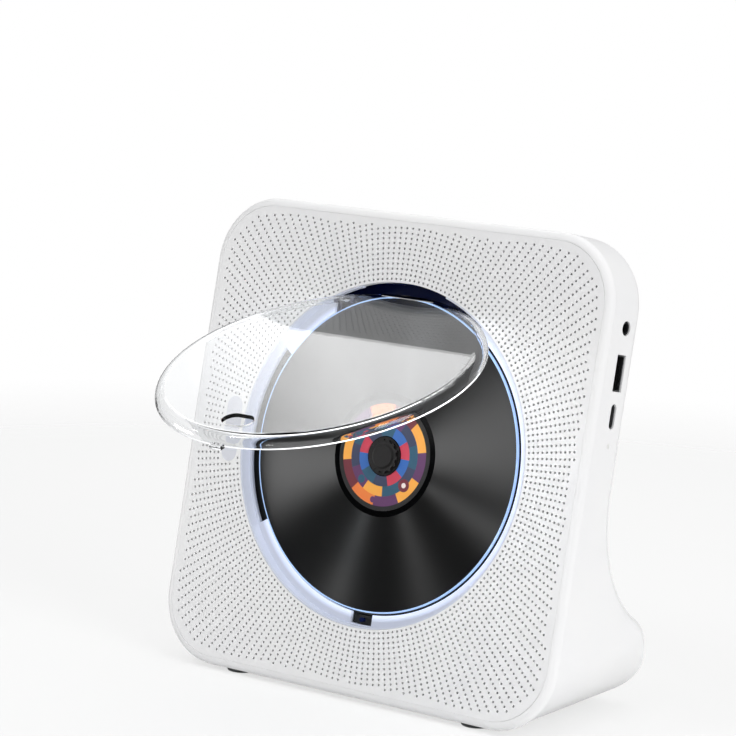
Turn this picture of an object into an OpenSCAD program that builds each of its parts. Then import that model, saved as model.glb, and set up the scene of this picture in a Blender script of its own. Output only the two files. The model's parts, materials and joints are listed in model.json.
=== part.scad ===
/* [Case] */
// Width of the front
face_w = 184; // [178:1:196]
// Height of the front, measured up the leaning face
face_h = 185; // [180:1:196]
// Backward lean of the front, degrees
lean = 12; // [8:0.5:14]
// Radius of the four corners of the front
corner_r = 26; // [20:1:28]
// Rounding of the front edge
front_edge_r = 3; // [2.8:0.1:3.1]
// Rounding of the rear edges
rear_edge_r = 5; // [3.5:0.5:6]
// Thickness of the upright slab
slab_t = 23; // [23:0.5:27]
// Wall of the rear housing
wall = 2.6; // [2.5:0.1:2.8]
// Radius of the sweep from the back into the foot
sweep_r = 49; // [46:1:52]
// Radius of the nose of the foot
nose_r = 14; // [12:0.5:15]
// Reach of the foot behind the front's lower edge
foot_reach = 71.5; // [70:0.5:78]
// Radius of the heel under the nose
heel_r = 8; // [7:0.5:9]
// Height of the rubber feet
foot_h = 2.2; // [1.8:0.1:3]
// Radius of the rubber feet
foot_r = 6; // [4:0.5:7]

/* [Grille] */
// Thickness of the perforated face
skin_t = 1.2; // [1:0.1:1.4]
// Number of spokes of holes
spokes = 80; // [40:10:100]
// Step between two rows of holes
row_step = 3.9; // [3.6:0.1:6]
// Radius of one hole
grille_hole_r = 0.6; // [0.4:0.05:0.8]
// Plain border round the holes
grille_border = 4.6; // [4:0.2:7]

/* [Well] */
// Gap between the disc's edge and the lit ring's ledge
disc_gap = 0.8; // [0.6:0.1:1]
// Width of the lit ring's ledge
ledge_w = 4.65; // [4.5:0.05:4.8]
// Width of the lit ring's lip at the front
lip_w = 0.65; // [0.6:0.05:1.1]
// Depth of the ledge below the front
ledge_z = 5.3; // [5.25:0.05:5.6]
// Half width of the dark recess at the top
recess_half_w = 19.5; // [16:0.5:21]
// Half angle of the finger notch on the left, degrees
notch_half_a = 32; // [20:1:34]
// Ring wall left outside the finger notch
notch_rim = 1.05; // [0.65:0.1:1.95]
// Width of the remote receiver's window
window_w = 7.5; // [6:0.5:8]
// Height of the remote receiver's window
window_h = 25; // [20:1:30]

/* [Disc] */
// Outer radius of the disc
disc_r = 60; // [59:0.5:60]
// Radius of the disc's centre hole
disc_hole_r = 7.5; // [7.4:0.1:7.8]
// Thickness of the disc
disc_t = 1.2; // [1:0.1:1.3]
// Depth of the disc's top below the front
disc_z = 4.2; // [4:0.05:4.3]
// Radius of the printed label
label_r = 21; // [16:0.5:23]
// Radius of the toothed hub cap
hub_cap_r = 6.6; // [6:0.1:7]
// Teeth round the hub cap
hub_teeth = 14; // [8:1:18]

/* [Dust cover] */
// Lap of the cover's rim over the lit ring's ledge
cover_lap = 1.2; // [1:0.05:1.4]
// Height of the cover, rim to face
cover_h = 4.6; // [4.4:0.05:4.7]
// Rounding of the cover's edge
cover_edge_r = 4.2; // [4:0.05:4.4]
// Wall of the cover
cover_t = 1.6; // [1.4:0.05:1.7]
// Opening angle at rest, degrees
cover_open = 60; // [55:1:60]
// Distance of the hinge axis inside the cover's edge
hinge_set = 5.5; // [5.2:0.1:5.7]
// Depth of the hinge axis below the front
hinge_z = 5; // [4.9:0.05:5.1]
// Radius of the hinge pins
hinge_pin_r = 1; // [0.9:0.05:1.1]
// Distance of the finger hole inside the cover's edge
finger_set = 12.4; // [12:0.2:16]
// Width of the finger hole
finger_w = 13; // [11:0.5:14]
// Height of the finger hole
finger_h = 8.3; // [7.4:0.1:8.6]

/* [Mechanism] */
// Radius of the spindle motor
motor_r = 9.5; // [8:0.5:9.5]
// Radius of the turntable
table_r = 14.5; // [12:0.5:15]
// Radius of the spindle shaft
spindle_r = 1; // [0.8:0.05:1.1]
// Distance of the lens from the spindle at rest
sled_start = 23; // [23:0.5:24]
// Length of the pickup sled along its travel
sled_w = 22; // [18:1:22]
// Half distance between the two guide rails
rail_half = 17; // [16.5:0.25:17.5]
// Radius of the guide rails
rail_r = 1.5; // [1.2:0.1:1.6]
// Pitch radius of the pinion that drives the rack
pinion_r = 3.6; // [3.6:0.1:3.8]
// Pitch radius of the large feed wheel
wheel_r = 8; // [7.6:0.1:8.2]
// Pitch radius of the feed motor's pinion
motor_pinion_r = 2.5; // [2.4:0.1:2.6]
// Radius of the feed motor
feed_motor_r = 5.5; // [5:0.1:5.7]

/* [Ports and keys] */
// Depth of the sockets behind the front
port_z = 12.5; // [12.4:0.1:13]
// Height of the headphone jack above the disc's centre
jack_y = 60.9; // [58:0.5:62]
// Bore radius of the headphone jack
jack_bore_r = 1.8; // [1.76:0.02:1.9]
// Height of the large slot above the disc's centre
usb_a_y = 44.3; // [42:0.5:46]
// Height of the small slot above the disc's centre
usb_c_y = 28.3; // [26:0.5:30]
// Height of the side light above the disc's centre
side_light_y = 17.4; // [15:0.5:19]
// Radius of a side key
key_r = 3.4; // [3:0.1:3.8]
// Step between two side keys
key_step = 12; // [10:0.5:12]
// Height of the top key above the disc's centre
key_top_y = 54; // [52:0.5:56]
// Radius of a keyhole's round entry
keyhole_r = 4.5; // [4:0.1:5]
// Rise of a keyhole's slot above the entry's middle
keyhole_rise = 9; // [7:0.5:10]
// Half distance between the two keyholes
keyhole_half = 40; // [34:1:44]
// Height of the keyholes above the disc's centre
keyhole_y = 62; // [58:1:64]

/* [Sound] */
// Gap between a speaker's frame and the case's side
speaker_side_gap = 5.5; // [5:0.1:6]
// Gap between a speaker's frame and the case's lower edge
speaker_low_gap = 6; // [5.5:0.1:6.5]
// Gap between a speaker's frame and the lit ring
speaker_ring_gap = 2.1; // [1.6:0.1:3]
// Depth of a speaker
speaker_depth = 13.5; // [11:0.5:14]

/* [Hidden] */
$fn = 96;

// Clearances: seat between fixed pieces, running fit on a shaft, gap round a moving piece
seat = 0.1;
run = 0.04;
free = 0.3;
// Gap round the perforated skin in its recess
skin_fit = 0.05;
// Cutters pass this far through a face
eps = 0.5;

// Sets the origin under the middle of the box round the case and its open cover
case_y = 3.9;

// Radii of the ring and the cover, each from the one inside it
ring_ledge_r = disc_r + disc_gap;             // inner edge of the ledge
ring_wall_r = ring_ledge_r + ledge_w;         // inner side of the wall
well_r = ring_wall_r + lip_w;                 // round opening in the front
notch_r = ring_wall_r - notch_rim;
cover_r = ring_ledge_r + cover_lap;
hinge_y = cover_r - hinge_set;
finger_y = cover_r - finger_set;

// Depths below the front, in the frame of the face
plate_z = front_edge_r;                       // rear of the front panel's plate
flange_z = 6.8;                               // underside of the light ring
board_z = flange_z + 0.4;                     // top of the LED board
board_t = 1;
deck_flange_z = board_z + board_t + 0.2;      // top of the deck's flange
deck_t = 1.6;
disc_under_z = disc_z + disc_t;               // underside of the disc
deck_z = disc_under_z + 1;                    // top of the deck's floor
chassis_z = deck_flange_z + deck_t + 0.4;     // top of the mechanism's chassis
chassis_t = 1.2;
rail_z = 13.9;
sled_bottom_z = 16.2;
rack_t = 2.4;
wheel_z = sled_bottom_z + 0.6;                // top of the large feed wheel
wheel_t = 1.2;
ring_flange_r = ring_wall_r + 4.05;
deck_r = ring_flange_r + 1.5;
disc_v = face_h/2;                            // the disc's centre up the face
far = 2*face_h;                               // length of cutters that reach past the case

// Speakers in the lower corners, the largest in steps of half a millimetre that fit there
corner_x = face_w/2 - speaker_side_gap;
corner_y = face_h/2 - speaker_low_gap;
ring_reach = ring_flange_r + speaker_ring_gap;
corner_sum = corner_x + corner_y + ring_reach;
speaker_fit_r = corner_sum
  - sqrt(pow(corner_sum, 2) - pow(corner_x, 2) - pow(corner_y, 2) + pow(ring_reach, 2));
speaker_r = floor(2*speaker_fit_r)/2;
speaker_x = corner_x - speaker_r;
speaker_y = -corner_y + speaker_r;
window_x = well_r + 1.35 + window_w/2;        // the receiver window's middle, left of the disc
housing_z = plate_z + 0.05;                   // front rim of the rear housing
cover_rim_z = hinge_z;                        // depth of the closed cover's rim
inner_z = slab_t - wall;                      // inside of the rear wall

// Cover hinge, across the case
ear_x = 27.8;
ear_w = 3;
ear_r = 2.2;
lug_r = 1.9;
lug_w = 1.6;
bracket_half_w = 34;
pin_x0 = ear_x - ear_w/2 - free - lug_w;
pin_x1 = ear_x + ear_w/2 + free + lug_w;
pocket_r = 8;
bracket_y0 = hinge_y - pocket_r - 1.4;        // front wall of the hinge bracket

// Feed gears
rack_y = rail_half + rail_r + 4.1;            // line where the rack's teeth meet the pinion
feed_x = -40;
feed_y = rack_y + pinion_r;
feed_reach = wheel_r + motor_pinion_r;
feed_motor_a = 125;
feed_motor_x = feed_x + feed_reach*cos(feed_motor_a);
feed_motor_y = feed_y + feed_reach*sin(feed_motor_a);
tooth_h = 0.55;

// Screw bosses of the case: two high, two low
boss_high = [face_w/2 - 17, disc_v - 17];
boss_low = [face_w/2 - 12, -34];
boss_r = 3.5;
screw_r = 1.25;
turret_r = 4.8;
// Screws that hold the deck
deck_screw_r = ring_flange_r + boss_r + 1;
deck_screw_a = [20, 160, 200, 340];

// Frame of the case: x right, y into the depth, z up the leaning face
module lean_frame() {
  translate([0, case_y, foot_h]) rotate([-lean, 0, 0]) children();
}

// Frame of the face: x right, y up the face, z out of it, origin at the disc's centre
module face_frame() {
  lean_frame() translate([0, 0, disc_v]) rotate([90, 0, 0]) children();
}

// Plain tube or disc in the face frame between two depths
module ring_at(r_out, r_in, z_deep, z_high) {
  difference() {
    translate([0, 0, -z_deep]) cylinder(r = r_out, h = z_deep - z_high);
    if (r_in > 0) translate([0, 0, -z_deep - eps]) cylinder(r = r_in, h = z_deep - z_high + 2*eps);
  }
}

// Box in the face frame given by its limits
module box_at(x0, x1, y0, y1, z_deep, z_high) {
  translate([x0, y0, -z_deep]) cube([x1 - x0, y1 - y0, z_deep - z_high]);
}

module rounded_square(w, h, r) {
  square([w - 2*r, h], center = true);
  square([w, h - 2*r], center = true);
  for (x = [-1, 1], y = [-1, 1]) translate([x*(w/2 - r), y*(h/2 - r)]) circle(r);
}

// Slot with round ends, long side along y
module slot_shape(w, h) {
  square([w, h - w], center = true);
  for (y = [-1, 1]) translate([0, y*(h/2 - w/2)]) circle(w/2);
}

// Wedge of a circle between two angles, for cutting sectors
module sector(r, a0, a1) {
  polygon(concat([[0, 0]], [for (i = [0:6]) r*[cos(a0 + (a1 - a0)*i/6), sin(a0 + (a1 - a0)*i/6)]]));
}

module mirror_x() {
  children();
  mirror([1, 0, 0]) children();
}

// ---------------------------------------------------------------- front panel and grille

// Quarter of a circle in the first quadrant
module quarter(r) {
  intersection() {
    circle(r);
    square(r);
  }
}

// Half of the panel's section: straight out to the rounded edge
module panel_half_section(half_w) {
  translate([0, -plate_z]) square([half_w - front_edge_r, plate_z]);
  translate([half_w - front_edge_r, -plate_z]) quarter(front_edge_r);
}

module panel_section(w) {
  panel_half_section(w/2);
  mirror([1, 0]) panel_half_section(w/2);
}

module panel_blank() {
  path_w = face_w - 2*corner_r;
  path_h = face_h - 2*corner_r;
  rotate([90, 0, 90]) linear_extrude(path_w, center = true) panel_section(face_h);
  rotate([90, 0, 0]) linear_extrude(path_h, center = true) panel_section(face_w);
  for (q = [[1, 1, 0], [-1, 1, 90], [-1, -1, 180], [1, -1, 270]])
    translate([q[0]*path_w/2, q[1]*path_h/2, 0]) rotate(q[2]) rotate_extrude(angle = 90)
      panel_half_section(corner_r);
}

module skin_outline(grow) {
  inset = front_edge_r + 0.2 - grow;
  rounded_square(face_w - 2*inset, face_h - 2*inset, corner_r - inset);
}

module panel_boss(x, y, z_deep) {
  translate([x, y, -z_deep]) cylinder(r = boss_r, h = z_deep - plate_z + 0.1);
}

module front_panel() color("white") face_frame() difference() {
  union() {
    difference() {
      panel_blank();
      translate([0, 0, -skin_t]) linear_extrude(skin_t + eps) skin_outline(skin_fit);
    }
    mirror_x() {
      panel_boss(boss_high[0], boss_high[1], inner_z - seat);
      panel_boss(boss_low[0], boss_low[1], inner_z - 3);
    }
    for (a = deck_screw_a)
      panel_boss(deck_screw_r*cos(a), deck_screw_r*sin(a), deck_flange_z);
  }
  ring_at(well_r, 0, plate_z + eps, -eps);
  mirror_x() {
    translate([speaker_x, speaker_y, -plate_z - eps]) cylinder(r = speaker_r - 3.5, h = plate_z + 2*eps);
    translate([boss_high[0], boss_high[1], -inner_z - eps]) cylinder(r = screw_r, h = 12);
    translate([boss_low[0], boss_low[1], -inner_z - eps]) cylinder(r = screw_r, h = 12);
  }
  window_hole(0);
}

function in_rounded_square(x, y, w, h, r) =
  abs(x) < w/2 && abs(y) < h/2 &&
  (abs(x) < w/2 - r || abs(y) < h/2 - r || norm([abs(x) - w/2 + r, abs(y) - h/2 + r]) < r);

function beside_window(x, y) =
  abs(x + window_x) > window_w/2 + 1 || abs(y) > window_h/2 + 1;

// Holes on spokes from the disc's centre, at one step apart along each spoke
module grille_holes() {
  first_r = well_r + 2;
  last_r = norm([face_w, face_h])/2;
  for (r = [first_r:row_step:last_r], k = [0:spokes - 1]) {
    p = r*[cos(360*k/spokes), sin(360*k/spokes)];
    if (in_rounded_square(p[0], p[1], face_w - 2*grille_border, face_h - 2*grille_border,
        corner_r - grille_border) && beside_window(p[0], p[1]))
      translate(p) circle(grille_hole_r, $fn = 16);
  }
}

module grille_skin() color("whitesmoke") face_frame()
  translate([0, 0, -skin_t]) linear_extrude(skin_t) difference() {
    skin_outline(0);
    circle(well_r, $fn = 180);
    translate([-window_x, 0]) slot_shape(window_w, window_h);
    grille_holes();
  }

module window_hole(gap) {
  translate([-window_x, 0, -plate_z - eps]) linear_extrude(plate_z + 2*eps)
    slot_shape(window_w - 2.4 + gap, window_h - 2.4 + gap);
}

module receiver_window() color("gainsboro") face_frame() {
  translate([-window_x, 0, -skin_t]) linear_extrude(skin_t)
    slot_shape(window_w - 2*seat, window_h - 2*seat);
  translate([-window_x, 0, -plate_z]) linear_extrude(plate_z - skin_t)
    slot_shape(window_w - 2.4 - 2*seat, window_h - 2.4 - 2*seat);
}

// ---------------------------------------------------------------- rear housing

// Point in the side view (depth direction, height above the base) from depth and height up the face
function side_point(d, v) = [d*cos(lean) + v*sin(lean), v*cos(lean) - d*sin(lean)];

sweep_y = 0.5;                                // where the foot's sweep begins, from the disc's centre
sweep_v = disc_v + sweep_y;
sweep_c = side_point(slab_t + sweep_r, sweep_v);
bite = 0.05;                                  // the nose stands into the sweep by this, so the two cross
nose_c = [foot_reach - nose_r,
  sweep_c[1] - sqrt(pow(sweep_r + nose_r - bite, 2) - pow(sweep_c[0] - foot_reach + nose_r, 2))];
heel_c = [foot_reach - heel_r, heel_r - bite/2];
a_back = 180 - lean;
a_nose = 360 + atan2(nose_c[1] - sweep_c[1], nose_c[0] - sweep_c[0]);

function arc_points(c, r, a0, a1, n) = [for (k = [0:n]) let (a = a0 + (a1 - a0)*k/n) c + r*[cos(a), sin(a)]];

// Side view of the case behind the front, its rear and base set in by a wall
function side_profile(inset) = concat(
  [side_point(-2, face_h + 5), side_point(slab_t - inset, face_h + 5)],
  arc_points(sweep_c, sweep_r + inset, a_back, a_nose, 18),
  arc_points(nose_c, nose_r - inset, a_nose - 180, 0, 10),
  arc_points(heel_c, heel_r - inset, 0, -90, 8),
  [[-5, inset - bite/2]]);

// Frame of the side view: x into the depth, y up, z across the case
module side_frame() {
  translate([0, case_y, foot_h]) rotate([90, 0, 90]) children();
}

// Section of the case's rear, from its surface inward: full width, both rear edges rounded
module rear_section(depth) {
  r = rear_edge_r;
  translate([r, -face_w/2]) square([depth - r, face_w]);
  translate([0, -face_w/2 + r]) square([r, face_w - 2*r]);
  for (s = [-1, 1]) translate([r, s*(face_w/2 - r)]) rotate(90 + 45*(1 - s)) quarter(r);
}

// The foot: its rear surface turned and drawn along the sweep, the nose and the heel
module foot_outer() {
  mid = -slab_t - sweep_r;
  mid_r = sweep_r + 10;
  face_frame() {
    translate([0, sweep_y, mid]) rotate([180, -90, 0]) rotate_extrude(angle = a_nose - a_back)
      translate([sweep_r, 0]) rear_section(slab_t - housing_z);
    rotate([90, 0, 90]) linear_extrude(face_w, center = true)
      polygon(concat([[-face_h, -housing_z], [sweep_y, -housing_z]],
        arc_points([sweep_y, mid], mid_r, 90, 90 + a_nose - a_back, 8),
        [[-face_h, mid]]));
  }
  side_frame() {
    translate(nose_c) rotate_extrude(angle = a_nose - 180)
      translate([nose_r, 0]) mirror([1, 0]) rear_section(nose_r);
    translate([0, heel_c[1], 0]) rotate([-90, 0, 0]) linear_extrude(nose_c[1] - heel_c[1])
      translate([foot_reach, 0]) mirror([1, 0]) rear_section(nose_r);
    linear_extrude(face_w, center = true) {
      polygon([nose_c + [-8, 2], nose_c + [2, 2], [heel_c[0], heel_c[1] + 3], [heel_c[0], -3],
        [nose_c[0] - 8, -3]]);
      translate(heel_c) rotate(-90) quarter(heel_r);
    }
  }
}

// Half of the slab's section, straight out to the rounded rear edge
module slab_half_section(half_w) {
  r = rear_edge_r;
  translate([0, -slab_t]) square([half_w - r, slab_t - housing_z]);
  translate([half_w - r, -slab_t + r]) square([r, slab_t - r - housing_z]);
  translate([half_w - r, -slab_t + r]) rotate(-90) quarter(r);
}

// Upright slab above the sweep, round at its two top corners
module slab_outer() face_frame() {
  side_y = face_h/2 - corner_r;
  translate([0, side_y, 0]) rotate([90, 0, 0]) linear_extrude(side_y - sweep_y) {
    slab_half_section(face_w/2);
    mirror([1, 0]) slab_half_section(face_w/2);
  }
  translate([0, side_y, 0]) rotate([90, 0, 90]) linear_extrude(face_w - 2*corner_r, center = true)
    slab_half_section(corner_r);
  for (q = [[1, 0], [-1, 90]])
    translate([q[0]*(face_w/2 - corner_r), side_y, 0]) rotate(q[1]) rotate_extrude(angle = 90)
      slab_half_section(corner_r);
}

// Straight prism from front to back with the two round lower corners, standing on the base
module lower_corners(inset) {
  x = face_w/2 - corner_r;
  translate([0, far/2, foot_h]) rotate([90, 0, 0]) linear_extrude(far) {
    for (s = [-1, 1]) translate([s*x, corner_r]) circle(corner_r - inset);
    translate([-x, inset]) square([2*x, corner_r]);
    translate([-face_w, corner_r]) square([2*face_w, 2*face_h]);
  }
}

module housing_outer() intersection() {
  union() {
    slab_outer();
    foot_outer();
  }
  lower_corners(0);
}

module housing_cavity() intersection() {
  side_frame() linear_extrude(face_w + 20, center = true) polygon(side_profile(wall));
  face_frame() translate([0, 0, -120]) linear_extrude(125) {
    rounded_square(face_w - 2*wall, face_h - 2*wall, corner_r - wall);
    translate([-face_w/2 + wall, -face_h]) square([face_w - 2*wall, face_h]);
  }
  lower_corners(wall - bite);
}

turret_z = inner_z - 3 + seat;                // front of the low screw turrets
turret_floor = 2;
pocket_z = inner_z - 4;                       // front of the keyhole pockets

screw_slot_r = 2.3;
pocket_half = keyhole_r + 2.1;                // room behind a keyhole, for the screw's head
pocket_low = keyhole_r + 1.5;
pocket_high = keyhole_rise + screw_slot_r + 0.7;
pocket_wall = [1.4, 1.5];
post_r = 3;

module keyhole_shape() {
  circle(keyhole_r);
  translate([-screw_slot_r, 0]) square([2*screw_slot_r, keyhole_rise]);
  translate([0, keyhole_rise]) circle(screw_slot_r);
}

module board_post(p, z_deep) {
  translate([p[0], p[1], -z_deep]) cylinder(r = post_r, h = z_deep - main_board_z - board_t - 0.2);
}

// Block round the room behind a keyhole
module pocket_block(margin, z_deep, z_high) {
  box_at(keyhole_half - pocket_half - margin[0], keyhole_half + pocket_half + margin[0],
    keyhole_y - pocket_low - margin[1], keyhole_y + pocket_high + margin[1], z_deep, z_high);
}

// Turrets and posts that stand on the sweep, cut to its curve
module low_posts() intersection() {
  face_frame() {
    mirror_x() translate([boss_low[0], boss_low[1], -60]) cylinder(r = turret_r, h = 60 - turret_z);
    for (p = board_posts_low) board_post(p, 50);
  }
  side_frame() linear_extrude(face_w, center = true) polygon(side_profile(wall/3));
}

// Posts, pockets and ribs on the flat of the rear wall
module high_posts() face_frame() {
  root_z = inner_z + wall/2;
  mirror_x() pocket_block(pocket_wall, root_z, pocket_z);
  for (p = board_posts_high) board_post(p, root_z);
  for (y = key_ribs) box_at(key_board_x - 2.2, key_board_x + 3.4, y, y + 3, root_z, key_rib_z);
}

module side_openings() {
  translate([face_w/2 - wall - 2, jack_y, -port_z]) rotate([0, 90, 0]) cylinder(r = jack_nose_r + 0.15, h = 9);
  box_at(face_w/2 - wall - 2, face_w/2 + 2, usb_a_y - usb_a_w/2 - 0.2, usb_a_y + usb_a_w/2 + 0.2,
    port_z + usb_a_t/2 + 0.2, port_z - usb_a_t/2 - 0.2);
  translate([face_w/2 - wall - 2, usb_c_y, -port_z]) rotate([90, 0, 90]) linear_extrude(9)
    usb_c_outline(0.2);
  translate([face_w/2 - wall - 2, side_light_y, -port_z]) rotate([0, 90, 0]) cylinder(r = side_light_r + 0.05, h = 9);
  for (i = [0:4]) translate([-face_w/2 - 2, key_y(i), -port_z]) rotate([0, 90, 0])
    cylinder(r = key_r + free, h = wall + 4);
}

module rear_housing() color("white") difference() {
  union() {
    difference() {
      housing_outer();
      housing_cavity();
    }
    low_posts();
    high_posts();
  }
  face_frame() {
    side_openings();
    mirror_x() {
      translate([boss_high[0], boss_high[1], -slab_t - eps]) cylinder(r = screw_hole_r, h = wall + 2*eps);
      translate([boss_high[0], boss_high[1], -slab_t - eps]) cylinder(r = screw_head_r + free, h = 1.2 + eps);
      translate([boss_low[0], boss_low[1], -80]) cylinder(r = screw_head_r + free, h = 80 - turret_z - turret_floor);
      translate([boss_low[0], boss_low[1], -turret_z - 5]) cylinder(r = screw_hole_r, h = 6);
      translate([keyhole_half, keyhole_y, -slab_t - eps]) linear_extrude(wall + eps) keyhole_shape();
      pocket_block([0, 0], inner_z + 0.01, pocket_z + 1.21);
    }
    for (y = key_ribs) box_at(key_board_x - 0.1, key_board_x + key_board_t + 0.1, y - 1, y + 4, key_board_z1 + 0.2, 0);
  }
}

screw_hole_r = 1.6;
screw_head_r = 2.7;

// ---------------------------------------------------------------- light ring and deck

module hinge_zone(z_deep, z_high, grow) {
  box_at(-bracket_half_w - grow, bracket_half_w + grow, bracket_y0 - free, far, z_deep, z_high);
}

module notch_sector(r, grow) {
  linear_extrude(20, center = true) intersection() {
    circle(r);
    sector(r*1.4, 180 - notch_half_a - grow, 180 + notch_half_a + grow);
  }
}

latch_half_w = 5;
latch_r = ring_wall_r - 0.45;

// Notch at the bottom, over the switch that the cover presses
module latch_zone(gap, z_deep, z_high) {
  box_at(-latch_half_w - gap, latch_half_w + gap, -far, -ring_ledge_r + 5.8, z_deep, z_high);
}

module light_ring() color("lavender") face_frame() difference() {
  rotate_extrude($fn = 180) polygon([[ring_ledge_r, -flange_z], [ring_flange_r, -flange_z],
    [ring_flange_r, -plate_z - seat], [well_r - 0.1, -plate_z - seat], [well_r - 0.1, -0.2],
    [ring_wall_r, -0.2], [ring_wall_r, -ledge_z], [ring_ledge_r, -ledge_z]]);
  hinge_zone(flange_z + 1, 2.6, 0);
  box_at(-recess_half_w, recess_half_w, bracket_y0, far, flange_z + 1, -1);
  notch_sector(notch_r, 0);
  intersection() {
    latch_zone(0, flange_z + 1, -1);
    ring_at(latch_r, 0, flange_z + 1, -1);
  }
}

module led_board() color("seagreen") face_frame() difference() {
  ring_at(ring_flange_r, ring_ledge_r + 0.7, board_z + board_t, board_z);
  hinge_zone(board_z + 2, board_z - 1, 0.5);
  notch_sector(ring_flange_r + 1, 1);
  latch_zone(0.5, board_z + 2, board_z - 1);
}

module led_chips() color("lightskyblue") face_frame()
  for (i = [0:23]) {
    a = 15*i + 7.5;
    near_hinge = abs(a - 90) < 38;
    near_notch = abs(a - 180) < notch_half_a + 3;
    if (!near_hinge && !near_notch)
      rotate(a) translate([ring_flange_r - 4, -1.5, -board_z]) cube([1.6, 3, 0.35]);
  }

// Way for the lens through the deck, and for the sled's riser through the chassis
module pickup_window(z_deep, z_high, before, after, half_w) {
  box_at(-sled_far - after, -sled_start + before, -half_w, half_w, z_deep, z_high);
}

lens_half_l = 4.2;
lens_half_w = 4;
sled_far = ring_ledge_r - deck_t - lens_half_l - 0.8;

module disc_deck() color([0.1, 0.1, 0.12]) face_frame() difference() {
  union() {
    ring_at(ring_ledge_r - 0.1, table_r + 0.8, deck_z + deck_t, deck_z);
    ring_at(ring_ledge_r - 0.1, ring_ledge_r - deck_t, deck_flange_z + deck_t, deck_z);
    ring_at(deck_r, ring_ledge_r - deck_t, deck_flange_z + deck_t, deck_flange_z);
    for (a = deck_screw_a) rotate(a) translate([deck_screw_r, 0, -deck_flange_z - deck_t])
      cylinder(r = 4.5, h = deck_t);
    for (p = chassis_posts) translate([p[0], p[1], -chassis_z]) cylinder(r = 3, h = chassis_z - deck_z - 0.5);
  }
  hinge_zone(deck_flange_z + 5, deck_z - 1, 0.3);
  pickup_window(deck_z + 5, deck_z - 1, lens_half_l + 0.5, lens_half_l + 0.5, lens_half_w + 0.8);
  for (a = deck_screw_a) rotate(a) translate([deck_screw_r, 0, -20]) cylinder(r = screw_r + 0.1, h = 20);
}

chassis_posts = [[12, 21], [12, -21], [-30, 17.5], [-30, -17.5]];

module hinge_pin_line(r, x0, x1) {
  translate([x0, hinge_y, -hinge_z]) rotate([0, 90, 0]) cylinder(r = r, h = x1 - x0);
}

bracket_floor_z = hinge_z + pocket_r + 1.4;
bracket_top_z = deck_z + 0.2;

// One half of the bracket: pocket walls, inner lug and end lug
module bracket_half() {
  end_x0 = bracket_half_w - 2;
  y_back = hinge_y + pocket_r + 3;
  box_at(-eps, bracket_half_w, bracket_y0, y_back, bracket_floor_z, bracket_floor_z - 1.4);
  box_at(-eps, bracket_half_w, bracket_y0, bracket_y0 + 1.4, bracket_floor_z, bracket_top_z);
  box_at(-eps, bracket_half_w, y_back - 2, y_back, bracket_floor_z, plate_z + seat);
  box_at(end_x0, bracket_half_w, bracket_y0, y_back, bracket_floor_z, bracket_top_z);
  for (x = [[pin_x0, pin_x0 + lug_w], [end_x0, bracket_half_w]]) {
    box_at(x[0], x[1], hinge_y - lug_r, hinge_y + lug_r, bracket_floor_z, hinge_z);
    hinge_pin_line(lug_r, x[0], x[1]);
  }
}

module hinge_bracket() color([0.08, 0.09, 0.16]) face_frame() difference() {
  mirror_x() bracket_half();
  mirror_x() hinge_pin_line(hinge_pin_r, pin_x0 - 1, bracket_half_w + 1);
  ring_at(disc_r + free, 0, disc_under_z + free, 0);
}

module hinge_pins() color("silver") face_frame()
  mirror_x() hinge_pin_line(hinge_pin_r, pin_x0, bracket_half_w);

// Coil spring round each pin, one unbroken wire
spring_wire_r = 0.25;
spring_r = hinge_pin_r + 0.55;
spring_turns = 2;
spring_x0 = ear_x + ear_w/2 + 0.3 + spring_wire_r;
spring_x1 = bracket_half_w - 2 - 0.1 - spring_wire_r;
spring_steps = 24;

function spring_point(t) = [spring_x0 + (spring_x1 - spring_x0)*t,
  hinge_y + spring_r*cos(360*spring_turns*t), -hinge_z + spring_r*sin(360*spring_turns*t)];

module hinge_springs() color("gray") face_frame() mirror_x() {
  n = spring_turns*spring_steps;
  sides = 6;
  points = [for (i = [0:n], k = [0:sides - 1])
    let (t = i/n, a = 360*spring_turns*t, b = 360*k/sides)
      spring_point(t) + spring_wire_r*(cos(b)*[0, cos(a), sin(a)] + sin(b)*[1, 0, 0])];
  faces = concat([[for (k = [0:sides - 1]) k]], [[for (k = [sides - 1:-1:0]) n*sides + k]],
    [for (i = [0:n - 1], k = [0:sides - 1]) let (m = (k + 1) % sides)
      [i*sides + k, (i + 1)*sides + k, (i + 1)*sides + m]],
    [for (i = [0:n - 1], k = [0:sides - 1]) let (m = (k + 1) % sides)
      [i*sides + k, (i + 1)*sides + m, i*sides + m]]);
  polyhedron(points, faces);
}

// ---------------------------------------------------------------- dust cover

module cover_half_profile(inset) {
  skirt = cover_h - cover_edge_r;
  square([cover_r - cover_edge_r, cover_h - inset]);
  square([cover_r - inset, skirt]);
  translate([cover_r - cover_edge_r, skirt]) quarter(cover_edge_r - inset);
}

// Room inside the cover, beside the hinge, for the disc's edge when the cover is open
relief_half_w = 12;
relief_r = norm([disc_r - hinge_y, hinge_z - disc_z]) + 0.2;

module disc_relief() intersection() {
  hinge_pin_line(relief_r, -relief_half_w, relief_half_w);
  box_at(-relief_half_w, relief_half_w, hinge_y + 0.4, hinge_y + relief_r, hinge_z + eps, 0);
}

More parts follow.
